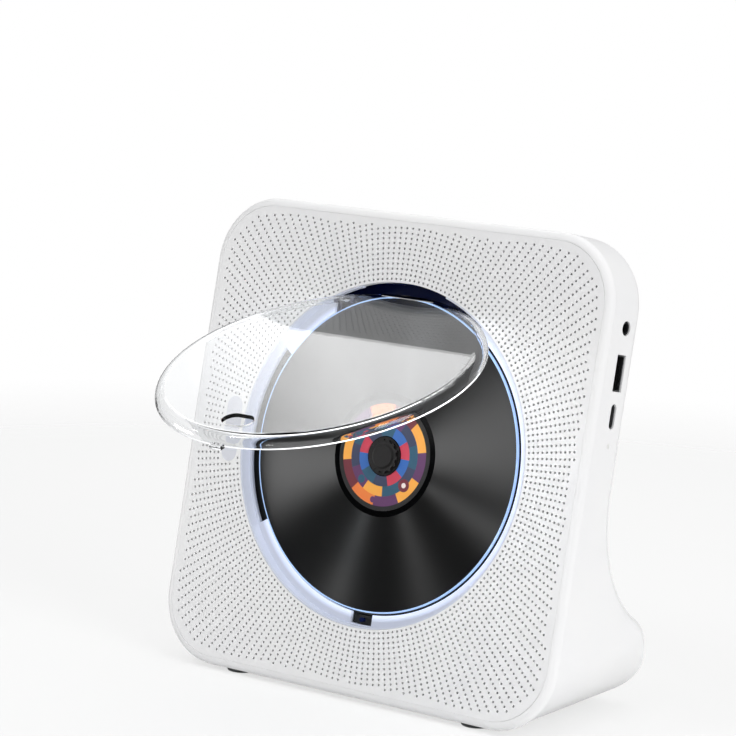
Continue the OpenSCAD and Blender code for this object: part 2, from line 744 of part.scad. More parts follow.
module cover_closed() difference() {
  union() {
    translate([0, 0, -cover_rim_z]) rotate_extrude($fn = 180) difference() {
      cover_half_profile(0);
      translate([-eps, -eps]) square([cover_r - cover_edge_r + eps, cover_h - cover_t + eps]);
      cover_half_profile(cover_t);
    }
    mirror_x() hinge_pin_line(ear_r, ear_x - ear_w/2, ear_x + ear_w/2);
    box_at(-2.6, 2.6, -cover_r - 2.2, -cover_r + 0.8, cover_rim_z + 0.3, cover_rim_z - 1.2);
  }
  mirror_x() {
    hinge_pin_line(hinge_pin_r + run, ear_x - ear_w, ear_x + ear_w);
    hinge_pin_line(lug_r + free, pin_x0 - free, ear_x - ear_w/2);
    hinge_pin_line(lug_r + free, ear_x + ear_w/2, bracket_half_w + free);
  }
  translate([0, -finger_y, -cover_rim_z]) linear_extrude(2*cover_h) rotate(90) slot_shape(finger_h, finger_w);
  disc_relief();
}

module dust_cover() color([0.85, 0.92, 1, 0.35]) face_frame()
  translate([0, hinge_y, -hinge_z]) rotate([-cover_open, 0, 0]) translate([0, -hinge_y, hinge_z])
    cover_closed();

// ---------------------------------------------------------------- disc and drive

module disc() color([0.06, 0.06, 0.07]) face_frame() ring_at(disc_r, disc_hole_r, disc_under_z, disc_z);

label_t = 0.1;

module disc_label() color("darkorange") face_frame()
  ring_at(label_r, disc_hole_r + 0.1, disc_z, disc_z - label_t);

hub_body_r = disc_hole_r - 0.15;
table_z = disc_under_z + 0.6;                 // top of the turntable, under its pad
table_t = 1.4;

module clamp_hub() color([0.17, 0.16, 0.16]) face_frame() difference() {
  union() {
    ring_at(hub_body_r, 0, table_z, disc_z - 0.3);
    translate([0, 0, -disc_z + 0.3]) linear_extrude(0.8) {
      circle(hub_cap_r - 0.7);
      for (k = [0:hub_teeth - 1]) rotate(360*k/hub_teeth)
        polygon([[0, -1], [hub_cap_r - 0.8, -0.75], [hub_cap_r, -0.45], [hub_cap_r, 0.45],
          [hub_cap_r - 0.8, 0.75], [0, 1]]);
    }
    translate([0, 0, -disc_z + 1.1]) cylinder(r1 = hub_cap_r - 1.6, r2 = hub_cap_r - 2.4, h = 0.45);
  }
  ring_at(spindle_r, 0, table_z + 1, disc_z);
}

module turntable() color([0.2, 0.2, 0.21]) face_frame() {
  ring_at(table_r, spindle_r, table_z + table_t, table_z);
  ring_at(5.5, spindle_r, table_z + table_t + 1.6, table_z + table_t - 0.1);
}

module turntable_pad() color([0.12, 0.12, 0.12]) face_frame()
  ring_at(table_r - 0.4, table_r - 4, table_z, disc_under_z);

motor_top_z = chassis_z + chassis_t;
motor_h = 6.7;
shaft_end_z = motor_top_z + motor_h - 0.6;

module spindle_shaft() color("silver") face_frame() ring_at(spindle_r, 0, shaft_end_z, disc_z);

module spindle_motor() color("darkgray") face_frame() {
  ring_at(motor_r, spindle_r + run, motor_top_z + motor_h, motor_top_z);
  ring_at(4.6, spindle_r + run, motor_top_z + eps, chassis_z - 0.2);
}

// ---------------------------------------------------------------- optical mechanism

chassis_x0 = -sled_far - sled_w/2 - 4.5;
rail_x0 = chassis_x0 + 0.5;
rail_x1 = -7.6;

module rail_line(r, x0, x1) {
  for (s = [-1, 1]) translate([x0, s*rail_half, -rail_z]) rotate([0, 90, 0]) cylinder(r = r, h = x1 - x0);
}

module mech_chassis() color("slategray") face_frame() difference() {
  union() {
    box_at(chassis_x0, 16, -20, 20, chassis_z + chassis_t, chassis_z);
    box_at(-20, 16, -24.5, 24.5, chassis_z + chassis_t, chassis_z);
    box_at(feed_x - 16, feed_x + 12, 15, feed_motor_y + feed_motor_r + 3, chassis_z + chassis_t, chassis_z);
    for (s = [-1, 1], x = [chassis_x0, rail_x1 - 3]) {
      y0 = s*rail_half - 2.6;
      box_at(x, x + 3, y0, y0 + 5.2, sled_bottom_z, chassis_z + chassis_t - 0.1);
    }
  }
  pickup_window(chassis_z + 3, chassis_z - 1, 7.5, 9.5, 9);
  ring_at(4.7, 0, chassis_z + 3, chassis_z - 1);
  rail_line(rail_r, rail_x0, rail_x1 + 1);
  translate([feed_x, feed_y, -20]) cylinder(r = axle_r, h = 20);
}

axle_r = 0.8;

module guide_rails() color("silver") face_frame() rail_line(rail_r, rail_x0, rail_x1);

module pickup_sled() color([0.25, 0.27, 0.3]) face_frame() difference() {
  union() {
    box_at(-sled_start - sled_w/2, -sled_start + sled_w/2, -rail_half - 3.4, rail_half + 3.4,
      sled_bottom_z, chassis_z + chassis_t + 0.4);
    box_at(-sled_start - 9, -sled_start + 7, -8, 8, sled_bottom_z, chassis_z + 0.2);
  }
  rail_line(rail_r + run, -sled_start - sled_w, -sled_start + sled_w);
  box_at(-sled_start - lens_half_l - 0.5, -sled_start + lens_half_l + 0.5, -lens_half_w - 0.5, lens_half_w + 0.5,
    lens_holder_z1 + 1, 9);
}

rack_z0 = sled_bottom_z - 0.1;
rack_half_l = 20;

module sled_rack() color("ivory") face_frame() {
  x_mid = -sled_start + 0.5;
  box_at(x_mid - rack_half_l, x_mid + rack_half_l, rail_half + 3.4, rack_y - tooth_h, rack_z0, rack_z0 - rack_t);
  for (k = [0:25]) {
    x = x_mid - rack_half_l + 0.4 + 1.5*k;
    box_at(x, x + 0.75, rack_y - tooth_h - 0.01, rack_y - 0.03, rack_z0, rack_z0 - rack_t);
  }
}

lens_holder_z1 = 11.4;

module lens_holder() color([0.15, 0.15, 0.16]) face_frame() translate([-sled_start, 0, 0]) difference() {
  box_at(-lens_half_l, lens_half_l, -lens_half_w, lens_half_w, lens_holder_z1, 8.2);
  ring_at(2.1, 0, 12, 7);
}

module objective_lens() color("lightcyan") face_frame() translate([-sled_start, 0, 0]) {
  ring_at(2.1, 0, 9.4, 8.4);
  translate([0, 0, -8.4]) cylinder(r1 = 2, r2 = 1.1, h = 0.5);
}

// Gear blank with straight-sided teeth that stop just short of the pitch circle
module gear(pitch_r, teeth, h) {
  outer = pitch_r - 0.03;
  root = outer - tooth_h;
  linear_extrude(h) {
    circle(root);
    for (k = [0:teeth - 1]) rotate(360*k/teeth) {
      half_root = 0.6*180/teeth;
      half_tip = 0.35*180/teeth;
      polygon([[0, 0], (root - 0.1)*[cos(half_root), -sin(half_root)], outer*[cos(half_tip), -sin(half_tip)],
        outer*[cos(half_tip), sin(half_tip)], (root - 0.1)*[cos(half_root), sin(half_root)]]);
    }
  }
}

module feed_gear() color("ivory") face_frame() translate([feed_x, feed_y, 0]) difference() {
  union() {
    translate([0, 0, -wheel_z - wheel_t]) gear(wheel_r, 32, wheel_t);
    translate([0, 0, -wheel_z - 0.01]) gear(pinion_r, 14, wheel_z - rack_z0 + rack_t);
  }
  translate([0, 0, -20]) cylinder(r = axle_r + run, h = 20);
}

module feed_axle() color("silver") face_frame() translate([feed_x, feed_y, -wheel_z - wheel_t - 0.6])
  cylinder(r = axle_r, h = wheel_z + wheel_t + 0.6 - chassis_z);

feed_shaft_r = 0.6;
feed_motor_z1 = 16;

module feed_motor() color("darkgray") face_frame() translate([feed_motor_x, feed_motor_y, 0])
  ring_at(feed_motor_r, feed_shaft_r + run, feed_motor_z1, chassis_z + chassis_t);

module feed_pinion() color("goldenrod") face_frame() translate([feed_motor_x, feed_motor_y, 0]) {
  translate([0, 0, -wheel_z - wheel_t]) gear(motor_pinion_r, 10, wheel_t);
  ring_at(feed_shaft_r, 0, wheel_z + 0.1, chassis_z + chassis_t + 1);
}

// ---------------------------------------------------------------- boards and sockets

usb_a_w = 13.2;
usb_a_t = 5.6;
usb_a_l = 14;
usb_c_w = 9;
usb_c_t = 3.2;
usb_c_l = 8.6;
jack_nose_r = 2.6;
jack_l = 13;
side_light_r = 0.9;
main_board_z = port_z + usb_a_t/2;
board_posts_low = [[30, -20], [face_w/2 - 8, -14]];
board_posts_high = [[30, 50], [face_w/2 - 26, 54]];
socket_face_x = face_w/2 - 0.5;

module usb_c_outline(gap) {
  h = usb_c_w + 2*gap;
  r = usb_c_t/2 + gap;
  square([h - 2*r, 2*r], center = true);
  for (s = [-1, 1]) translate([s*(h/2 - r), 0]) circle(r);
}

module main_board() color("darkgreen") face_frame() {
  box_at(26, face_w/2 - wall - 2.5, -28, 68, main_board_z + board_t, main_board_z);
  for (c = [[34, 6, 14, 14, 1.2], [34, 32, 9, 9, 1], [54, -10, 8, 12, 1.4], [60, 6, 12, 5, 1]])
    translate([c[0], c[1], -main_board_z]) cube([c[2], c[3], c[4]]);
  for (p = [[36, -14], [46, -18], [face_w/2 - 20, -14]]) translate([p[0], p[1], -main_board_z]) cylinder(r = 3.5, h = 4.6);
}

module headphone_jack() color([0.1, 0.1, 0.1]) face_frame() translate([0, jack_y, -port_z]) difference() {
  union() {
    rotate([0, 90, 0]) translate([0, 0, socket_face_x - 5]) cylinder(r = jack_nose_r, h = 5);
    translate([socket_face_x - 3 - jack_l, -3.2, port_z - main_board_z]) cube([jack_l, 6.4, usb_a_t + 0.2]);
  }
  rotate([0, 90, 0]) translate([0, 0, socket_face_x - jack_l]) cylinder(r = jack_bore_r, h = jack_l + 1);
}

module usb_a_socket() color("silver") face_frame() translate([0, usb_a_y, -port_z]) {
  difference() {
    translate([socket_face_x - usb_a_l, -usb_a_w/2, -usb_a_t/2]) cube([usb_a_l, usb_a_w, usb_a_t]);
    translate([socket_face_x - usb_a_l + 1, -usb_a_w/2 + 0.4, -usb_a_t/2 + 0.4])
      cube([usb_a_l, usb_a_w - 0.8, usb_a_t - 0.8]);
  }
  translate([socket_face_x - usb_a_l + 0.5, -5.4, 0.2]) cube([usb_a_l - 2, 10.8, 1.7]);
}

module usb_c_socket() color("silver") face_frame() translate([0, usb_c_y, -port_z]) {
  difference() {
    translate([socket_face_x - usb_c_l, 0, 0]) rotate([90, 0, 90]) linear_extrude(usb_c_l) usb_c_outline(0);
    translate([socket_face_x - usb_c_l + 1, 0, 0]) rotate([90, 0, 90]) linear_extrude(usb_c_l) usb_c_outline(-0.35);
  }
  translate([socket_face_x - usb_c_l + 0.5, -3.2, -0.35]) cube([usb_c_l - 2, 6.4, 0.7]);
  translate([socket_face_x - usb_c_l, -3, port_z - main_board_z])
    cube([face_w/2 - wall - free - socket_face_x + usb_c_l, 6, usb_a_t/2 - usb_c_t/2 + 0.1]);
}

module side_light() color("azure") face_frame() translate([0, side_light_y, -port_z]) {
  rotate([0, 90, 0]) translate([0, 0, face_w/2 - 7]) cylinder(r = side_light_r, h = 6.9);
  translate([face_w/2 - 9, -1.6, port_z - main_board_z]) cube([3, 3.2, usb_a_t/2 + 1.2]);
}

// ---------------------------------------------------------------- speakers

frame_flange_t = 1.6;
magnet_r = 11.5;
magnet_z0 = plate_z + seat + 7.6;

module speaker_frame(s) color([0.16, 0.16, 0.17]) face_frame() translate([s*speaker_x, speaker_y, 0])
  rotate_extrude() polygon([[speaker_r, -plate_z - seat], [speaker_r, -plate_z - seat - frame_flange_t],
    [speaker_r - 2, -plate_z - seat - frame_flange_t], [magnet_r - 1, -magnet_z0], [4.2, -magnet_z0],
    [4.2, -magnet_z0 + 1], [magnet_r - 1.6, -magnet_z0 + 1],
    [speaker_r - 3.4, -plate_z - seat - 0.8], [speaker_r - 3.4, -plate_z - seat]]);

module speaker_cone(s) color([0.3, 0.3, 0.32]) face_frame() translate([s*speaker_x, speaker_y, 0])
  rotate_extrude() polygon([[speaker_r - 3.5, -plate_z - seat - 0.2], [speaker_r - 5.2, -plate_z - 0.3],
    [4, -magnet_z0 + 3.6], [0, -magnet_z0 + 4.6], [0, -magnet_z0 + 3.9], [3.4, -magnet_z0 + 3],
    [3.4, -magnet_z0 + 0.2], [3.9, -magnet_z0 + 0.2], [3.9, -magnet_z0 + 2.8],
    [speaker_r - 5.2, -plate_z - 1.1], [speaker_r - 3.5, -plate_z - seat - 0.8]]);

module speaker_magnet(s) color("dimgray") face_frame() translate([s*speaker_x, speaker_y, 0])
  ring_at(magnet_r, 0, plate_z + seat + speaker_depth, magnet_z0);

module speaker_frame_left() speaker_frame(-1);
module speaker_cone_left() speaker_cone(-1);
module speaker_magnet_left() speaker_magnet(-1);
module speaker_frame_right() speaker_frame(1);
module speaker_cone_right() speaker_cone(1);
module speaker_magnet_right() speaker_magnet(1);

// ---------------------------------------------------------------- switch, keys, screws, feet

switch_y = -cover_r - 1.1;
plunger_r = 0.9;
switch_top_z = 6.9;

module lid_switch() color([0.1, 0.1, 0.1]) face_frame() difference() {
  box_at(-4.2, 4.2, switch_y - 1.7, switch_y + 1.7, deck_flange_z - 0.05, switch_top_z);
  translate([0, switch_y, -20]) cylinder(r = plunger_r + run, h = 20);
}

module lid_plunger() color("ivory") face_frame() translate([0, switch_y, 0])
  ring_at(plunger_r, 0, deck_flange_z - 0.75, cover_rim_z + 0.45);

key_board_x = -face_w/2 + wall + 5.1;
key_board_t = 1.2;
key_board_z1 = 18;
key_rib_z = 14.5;
key_ribs = [key_top_y - 4*key_step - 9, key_top_y + 6];
key_gap = 0.7;
tact_t = 2;

function key_y(i) = key_top_y - i*key_step;

module key_board() color("darkgreen") face_frame() {
  box_at(key_board_x, key_board_x + key_board_t, key_ribs[0], key_ribs[1] + 3, key_board_z1, port_z - 4.5);
  for (i = [0:4]) box_at(key_board_x - tact_t, key_board_x, key_y(i) - 3, key_y(i) + 3, port_z + 3, port_z - 3);
}

// Round push key on the left side, with a flange inside the wall and a stem to its switch
module side_key(i) color("whitesmoke") face_frame() translate([0, key_y(i), -port_z]) rotate([0, 90, 0]) {
  inner = -face_w/2 + wall;
  translate([0, 0, -face_w/2 - 0.8]) cylinder(r = key_r, h = wall + 1);
  translate([0, 0, inner + 0.1]) cylinder(r = key_r + 0.9, h = 0.8);
  translate([0, 0, inner + 0.5]) cylinder(r = 1.5, h = key_board_x - tact_t - key_gap - inner - 0.5);
}

module key_power() side_key(0);
module key_source() side_key(1);
module key_previous() side_key(2);
module key_play() side_key(3);
module key_next() side_key(4);

module screw_at(p, head_z, length, head_t) {
  translate([p[0], p[1], -head_z - head_t]) cylinder(r = screw_head_r, h = head_t);
  translate([p[0], p[1], -head_z]) cylinder(r = screw_r, h = length);
}

module case_screws() color("silver") face_frame() {
  for (s = [-1, 1]) {
    screw_at([s*boss_high[0], boss_high[1]], slab_t - 1.2, 11, 1.1);
    screw_at([s*boss_low[0], boss_low[1]], turret_z + turret_floor, 9, 2);
  }
  for (a = deck_screw_a) screw_at(deck_screw_r*[cos(a), sin(a)], deck_flange_z + deck_t, 5, 1.6);
}

feet_x = face_w/2 - corner_r - foot_r - 4;

module rubber_feet() color([0.25, 0.25, 0.26])
  for (x = [-feet_x, feet_x], y = [foot_r + 4, foot_reach - heel_r - foot_r - 1])
    translate([x, case_y + y, 0]) cylinder(r = foot_r, h = foot_h);

front_panel();
grille_skin();
rear_housing();
light_ring();
led_board();
led_chips();
disc_deck();
hinge_bracket();
hinge_pins();
hinge_springs();
dust_cover();
disc();
disc_label();
clamp_hub();
turntable();
turntable_pad();
spindle_shaft();
spindle_motor();
mech_chassis();
guide_rails();
pickup_sled();
sled_rack();
lens_holder();
objective_lens();
feed_motor();
feed_pinion();
feed_gear();
feed_axle();
main_board();
headphone_jack();
usb_a_socket();
usb_c_socket();
side_light();
speaker_frame_left();
speaker_cone_left();
speaker_magnet_left();
speaker_frame_right();
speaker_cone_right();
speaker_magnet_right();
lid_switch();
lid_plunger();
receiver_window();
key_board();
key_power();
key_source();
key_previous();
key_play();
key_next();
case_screws();
rubber_feet();
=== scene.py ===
# %% [markdown]
# # A small CD player with a leaning, perforated front
#
# The construction model brings every piece at its real size and place. This lesson dresses it: it gives
# each piece the finish of what it is made of, and models again the few pieces whose looks need more than
# a plain solid, which are the perforated face, the disc and its printed label.
# Everything is in metres, +Z is up, and the front looks along -Y.

import json
import math
from contextlib import contextmanager

import bmesh
import bpy
from mathutils import Matrix, Vector
from mathutils.geometry import delaunay_2d_cdt


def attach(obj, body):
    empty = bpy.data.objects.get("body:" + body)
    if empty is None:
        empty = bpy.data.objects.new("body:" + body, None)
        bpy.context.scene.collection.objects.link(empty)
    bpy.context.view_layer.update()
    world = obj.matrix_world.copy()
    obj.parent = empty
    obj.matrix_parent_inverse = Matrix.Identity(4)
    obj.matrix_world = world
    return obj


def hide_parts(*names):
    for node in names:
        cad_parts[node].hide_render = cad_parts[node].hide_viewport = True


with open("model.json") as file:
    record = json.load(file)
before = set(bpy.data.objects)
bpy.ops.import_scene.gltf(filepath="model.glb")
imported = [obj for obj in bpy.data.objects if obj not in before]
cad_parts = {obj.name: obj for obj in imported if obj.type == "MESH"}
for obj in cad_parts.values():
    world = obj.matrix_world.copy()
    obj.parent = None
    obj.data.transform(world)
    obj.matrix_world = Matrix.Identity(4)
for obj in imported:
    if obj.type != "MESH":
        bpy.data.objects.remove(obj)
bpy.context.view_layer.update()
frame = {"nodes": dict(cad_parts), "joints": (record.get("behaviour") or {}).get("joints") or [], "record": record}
nodes = frame["nodes"]
print("pieces in the model:", len(nodes))

# %% [markdown]
# ## The leaning face as a frame of its own
#
# The front leans back, and nearly everything that shows is laid out on it. So the pieces are modelled
# flat, in millimetres from the disc's centre, with x across the face, y up the face and z out of it, and
# are then turned into place. The lean and the centre come from the joint that the disc spins on, and the
# front's surface comes from the perforated face itself.

# %% The face's frame
MM = 0.001
spin_joint = next(j for j in frame["joints"] if j["name"] == "disc_spin")
face_out = Vector(spin_joint["axis"]).normalized()
face_across = Vector((1, 0, 0))
face_up = face_out.cross(face_across)
disc_point = Vector(spin_joint["pos_m"])
front_level = max(v.co.dot(face_out) for v in nodes["grille_skin"].data.vertices)
face_origin = disc_point + face_out * (front_level - disc_point.dot(face_out))
TO_FACE = Matrix.Translation(face_origin) @ Matrix((face_across, face_up, face_out)).transposed().to_4x4()
lean = math.degrees(math.asin(face_out.z))
print("the face leans", round(lean, 2), "degrees, disc centre at", [round(c, 4) for c in face_origin])


def face_range(name):
    """Lowest and highest x, y, z of a node in the face's frame, in millimetres."""
    turned = [TO_FACE.inverted() @ v.co / MM for v in nodes[name].data.vertices]
    return [Vector(f(p[i] for p in turned) for i in range(3)) for f in (min, max)]


# %% [markdown]
# ## Small helpers for modelling by hand
#
# An operator acts on whatever is selected, so each step starts by deselecting all. A finished piece keeps
# its place in its mesh, with its object at the origin, because patterns on object coordinates would slide
# otherwise.

# %% Modelling helpers
def take(obj):
    bpy.ops.object.select_all(action="DESELECT")
    obj.select_set(True)
    bpy.context.view_layer.objects.active = obj
    return obj


def named(name):
    obj = bpy.context.object
    obj.name = name
    obj.data.name = name
    return obj


@contextmanager
def edit(obj, kind="FACE"):
    """Edit mode on obj with nothing selected. Gives its bmesh, for selecting by place."""
    take(obj)
    bpy.ops.object.mode_set(mode="EDIT")
    bpy.ops.mesh.select_mode(type=kind)
    bpy.ops.mesh.select_all(action="DESELECT")
    yield bmesh.from_edit_mesh(obj.data)
    bpy.ops.object.mode_set(mode="OBJECT")


def put_on_face(obj):
    """Moves a piece modelled flat, in millimetres, to its place on the leaning face."""
    take(obj)
    obj.matrix_world = TO_FACE @ Matrix.Scale(MM, 4)
    bpy.ops.object.transform_apply(location=True, rotation=True, scale=True)
    return obj


def join(name, objs):
    take(objs[0])
    for obj in objs:
        obj.select_set(True)
    bpy.ops.object.join()
    return named(name)


# %% [markdown]
# ## Small helpers for materials
#
# Every colour is an sRGB value, as a paint chip would be read from a picture, and is turned to linear
# light in one place. One function adds a node with its settings and links.

# %% Material helpers
def srgb(code):
    parts = [int(code[i:i + 2], 16) / 255 for i in (1, 3, 5)]
    linear = [c / 12.92 if c <= 0.04045 else ((c + 0.055) / 1.055) ** 2.4 for c in parts]
    return (*linear, 1.0)


def node(tree, kind, inputs=None, **settings):
    made = tree.nodes.new("ShaderNode" + kind)
    for key, value in settings.items():
        setattr(made, key, value)
    for key, value in (inputs or {}).items():
        if isinstance(value, bpy.types.NodeSocket):
            tree.links.new(value, made.inputs[key])
        else:
            made.inputs[key].default_value = value
    return made


def new_material(name, colour, roughness, **shader):
    """A material with one Principled shader. Returns the material, its tree and the shader."""
    material = bpy.data.materials.new(name)
    material.use_nodes = True
    tree = material.node_tree
    tree.nodes.clear()
    values = {"Base Color": srgb(colour), "Roughness": roughness}
    for key, value in shader.items():
        values[key.replace("_", " ").title().replace("Ior", "IOR")] = value
    surface = node(tree, "BsdfPrincipled", values)
    node(tree, "OutputMaterial", {"Surface": surface.outputs[0]})
    material.diffuse_color = srgb(colour)
    return material, tree, surface


def object_place(tree):
    return node(tree, "TexCoord").outputs["Object"]


def grain(tree, size_mm, detail=2.0, place=None):
    """Soft noise whose lumps are size_mm wide."""
    return node(tree, "TexNoise", {"Vector": place or object_place(tree), "Scale": 1 / (size_mm * MM),
                                   "Detail": detail, "Roughness": 0.5}).outputs["Fac"]


def spread(tree, value, low, high):
    """The noise's middle half, stretched to run from low to high."""
    return node(tree, "MapRange", {"Value": value, "From Min": 0.3, "From Max": 0.7,
                                   "To Min": low, "To Max": high}).outputs[0]


def bump(tree, surface, height, depth_mm, strength=1.0):
    made = node(tree, "Bump", {"Height": height, "Distance": depth_mm * MM, "Strength": strength})
    tree.links.new(made.outputs[0], surface.inputs["Normal"])


def two_tone(tree, surface, factor, low, high):
    mix = node(tree, "Mix", data_type="RGBA")
    tree.links.new(factor, mix.inputs["Factor"])
    mix.inputs["A"].default_value = srgb(low)
    mix.inputs["B"].default_value = srgb(high)
    tree.links.new(mix.outputs["Result"], surface.inputs["Base Color"])


def face_place(tree):
    """Object coordinates turned into the face's frame: metres from the disc's centre."""
    back = TO_FACE.inverted()
    turn = node(tree, "Mapping", {"Vector": object_place(tree), "Rotation": back.to_euler(),
                                  "Location": back.translation})
    return turn.outputs[0]


def face_radius(tree):
    """Distance from the disc's axis, in metres."""
    flat = node(tree, "VectorMath", {0: face_place(tree), 1: (1, 1, 0)}, operation="MULTIPLY")
    return node(tree, "VectorMath", {0: flat.outputs[0]}, operation="LENGTH").outputs["Value"]


# %% [markdown]
# ## Moulded plastics
#
# The case is injection-moulded ABS. Its mould is spark-eroded, which leaves a very fine, even texture, so
# the white looks satin and not glossy. Small pieces are moulded in smoother tools. The grain is drawn at
# 0.4 mm, coarser than the real one, so that it still breaks up the highlights in a picture.

# %% Moulded plastics
def moulded(name, colour, shade, roughness, grain_mm=0.4, depth_mm=0.01, **shader):
    material, tree, surface = new_material(name, colour, roughness, **shader)
    lumps = grain(tree, grain_mm)
    two_tone(tree, surface, spread(tree, grain(tree, 30), 0, 1), colour, shade)
    tree.links.new(spread(tree, lumps, roughness - 0.06, roughness + 0.06), surface.inputs["Roughness"])
    bump(tree, surface, lumps, depth_mm)
    return material


case_white = moulded("satin_abs_white", "#efefef", "#ededee", 0.46, specular_ior_level=0.2)
key_white = moulded("satin_abs_key", "#e9e9e9", "#e4e4e5", 0.38)
deck_black = moulded("textured_abs_black", "#17181b", "#121316", 0.42)
hinge_navy = moulded("gloss_abs_navy", "#0b1c50", "#08153f", 0.18, depth_mm=0.004)
hub_grey = moulded("matt_pom_dark_grey", "#1a1818", "#161414", 0.6, specular_ior_level=0.15)
sled_grey = moulded("glass_filled_nylon_grey", "#3a3c40", "#323438", 0.5)
gear_ivory = moulded("acetal_ivory", "#e2dcc8", "#dad3bd", 0.35)
foot_rubber = moulded("grey_tpe_rubber", "#4a4b4d", "#404143", 0.75, grain_mm=0.6, depth_mm=0.03)
cone_paper = moulded("pressed_paper_cone", "#26262a", "#1d1d20", 0.85, grain_mm=0.8, depth_mm=0.05)
receiver_smoke = moulded("acrylic_milky", "#dfe1e8", "#d9dbe3", 0.22, depth_mm=0.003)
light_pipe = moulded("acrylic_white_light_pipe", "#e6e6e4", "#e0e0de", 0.3, depth_mm=0.003)

# %% [markdown]
# ## The lit ring
#
# The ring is a milky polycarbonate light guide with LEDs behind its ledge. It glows pale blue, strongest
# at its inner lip, where the light leaves it, and hardly at its rim. A little emission on a pale base keeps
# its shape readable, where a strong one would flatten it.

# %% The lit ring
LIP_R = 61.0
GLOW_END_R = 63.4
LIP_GLOW = 0.85
RIM_GLOW = 0.08
lit_ring, tree, surface = new_material("milky_polycarbonate_lit", "#d0d4e0", 0.3)
lip = node(tree, "MapRange", {"Value": face_radius(tree), "From Min": LIP_R * MM, "From Max": GLOW_END_R * MM,
                              "To Min": LIP_GLOW, "To Max": RIM_GLOW})
surface.inputs["Emission Color"].default_value = srgb("#c3cee6")
tree.links.new(lip.outputs[0], surface.inputs["Emission Strength"])
bump(tree, surface, grain(tree, 1.5), 0.01)

led_lit, tree, surface = new_material("led_phosphor_lit", "#f4f6ff", 0.4)
surface.inputs["Emission Color"].default_value = srgb("#cfe0ff")
surface.inputs["Emission Strength"].default_value = 2.0
bump(tree, surface, grain(tree, 0.3), 0.01)

# %% [markdown]
# ## Metals and boards
#
# Small steel pieces are turned or stamped and zinc plated, so their finish is fine parallel or cloudy
# wear, never a mirror. Circuit boards are glass-fibre laminate under solder mask: the copper under the
# mask shows as slightly raised, lighter tracks.

# %% Metals and boards
def metal(name, colour, shade, roughness, streak_mm=(0.2, 0.2, 0.2)):
    material, tree, surface = new_material(name, colour, roughness, metallic=1.0)
    scale = tuple(1 / (s * MM) for s in streak_mm)
    place = node(tree, "Mapping", {"Vector": object_place(tree), "Scale": scale}).outputs[0]
    wear = node(tree, "TexNoise", {"Vector": place, "Scale": 1.0, "Detail": 3.0}).outputs["Fac"]
    two_tone(tree, surface, spread(tree, wear, 0, 1), colour, shade)
    tree.links.new(spread(tree, wear, roughness - 0.08, roughness + 0.1), surface.inputs["Roughness"])
    bump(tree, surface, wear, 0.004)
    return material


def board(name, mask, track):
    material, tree, surface = new_material(name, mask, 0.3)
    tracks = node(tree, "TexBrick", {"Vector": object_place(tree), "Scale": 1.0, "Brick Width": 7 * MM,
                                     "Row Height": 2.4 * MM, "Mortar Size": 0.5 * MM})
    two_tone(tree, surface, tracks.outputs["Fac"], mask, track)
    bump(tree, surface, tracks.outputs["Fac"], 0.03)
    return material


pin_steel = metal("turned_steel", "#c6c8ca", "#b2b4b7", 0.28, (3, 0.15, 0.15))
plate_steel = metal("zinc_plated_sheet_steel", "#b9bcc0", "#a6a9ae", 0.36, (2, 2, 2))
can_steel = metal("nickel_plated_can", "#cfcdc8", "#bdbbb6", 0.25, (0.3, 0.3, 4))
socket_steel = metal("stamped_nickel_silver", "#b4b6b8", "#9fa1a3", 0.3, (0.5, 4, 4))
gear_brass = metal("turned_brass", "#d8b565", "#c7a455", 0.3)
green_board = board("fr4_green_mask", "#1f5a37", "#2c6e47")
white_board = board("fr4_white_mask", "#e7e9ec", "#dcdfe3")

# %% [markdown]
# ## Clear acrylic
#
# The dust cover is moulded in clear acrylic. Glass shaders block lamps, so its shadow would be as dark as
# that of a solid lid. Letting shadow rays through gives the pale shadow that clear plastic really casts.
# Its roughness stays near zero: a faint unevenness of the moulding is all that it has.

# %% Clear acrylic
def clear(name, tint, roughness, ior):
    material, tree, surface = new_material(name, tint, roughness, transmission_weight=1.0, ior=ior)
    wave = grain(tree, 25)
    bump(tree, surface, wave, 0.02)
    path = node(tree, "LightPath")
    passing = node(tree, "BsdfTransparent", {"Color": srgb("#f4f6f8")})
    shadow = node(tree, "MixShader", {0: path.outputs["Is Shadow Ray"], 1: surface.outputs[0],
                                      2: passing.outputs[0]})
    output = next(n for n in tree.nodes if n.type == "OUTPUT_MATERIAL")
    tree.links.new(shadow.outputs[0], output.inputs["Surface"])
    return material


clear_acrylic = clear("clear_acrylic", "#fbfcfd", 0.0, 1.49)
lens_glass = clear("coated_lens", "#c9d2f5", 0.0, 1.52)

# %% [markdown]
# ## Dress the model
#
# The record says which material slot each piece takes. One table pairs those slots with the finishes
# above, and each piece's single material is swapped for its own.

# %% Dress the model
FINISHES = {
    "white_case": case_white, "white_key": key_white, "lit_ring": lit_ring, "lit_chip": led_lit,
    "white_board": white_board, "green_board": green_board, "black_plastic": deck_black,
    "navy_plastic": hinge_navy, "steel": pin_steel, "sheet_steel": plate_steel, "motor_can": can_steel,
    "socket_steel": socket_steel, "gear_brass": gear_brass, "clear_cover": clear_acrylic,
    "lens_glass": lens_glass, "grey_hub": hub_grey, "sled_plastic": sled_grey,
    "ivory_plastic": gear_ivory, "dark_rubber": foot_rubber, "cone_paper": cone_paper,
    "receiver_lens": receiver_smoke, "white_light": light_pipe,
}


def dress(obj, *materials):
    obj.data.materials.clear()
    for material in materials:
        obj.data.materials.append(material)


for part in frame["record"]["subparts"]:
    if part["material_slot"] in FINISHES:
        dress(nodes[part["node"]], FINISHES[part["material_slot"]])
dress(nodes["lid_plunger"], hinge_navy)
print("dressed by slot:", len(FINISHES), "finishes")

